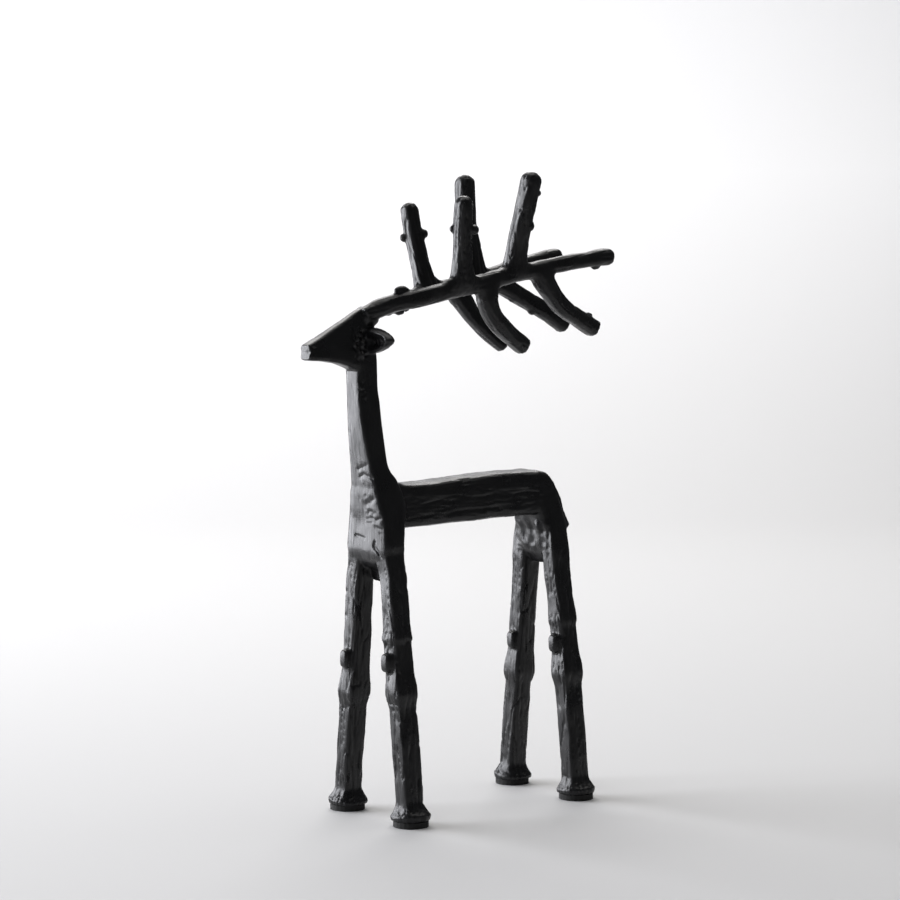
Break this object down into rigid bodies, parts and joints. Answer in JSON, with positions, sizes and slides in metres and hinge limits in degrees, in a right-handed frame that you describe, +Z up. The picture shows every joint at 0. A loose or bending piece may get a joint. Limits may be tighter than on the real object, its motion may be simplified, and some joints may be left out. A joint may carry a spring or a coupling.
{
  "type": "reindeer figurine",
  "caption": "Slender standing reindeer figurine cast as if carved from twigs, with tall branching antlers swept back, satin black, on small round foot pads",
  "frame": {"origin": "on the ground, under the middle of the figurine's box", "axes": "+Z up, the animal faces -Y, +X is the animal's left"},
  "size_m": [0.0726, 0.1847, 0.3303],
  "materials": {
    "black_casting": "cast metal with bark relief, painted satin black",
    "black_pad": "matte"
  },
  "bodies": {
    "root": {"reindeer_casting": "black_casting", "front_left_foot_pad": "black_pad", "front_right_foot_pad": "black_pad", "rear_left_foot_pad": "black_pad", "rear_right_foot_pad": "black_pad"}
  },
  "joints": []
}
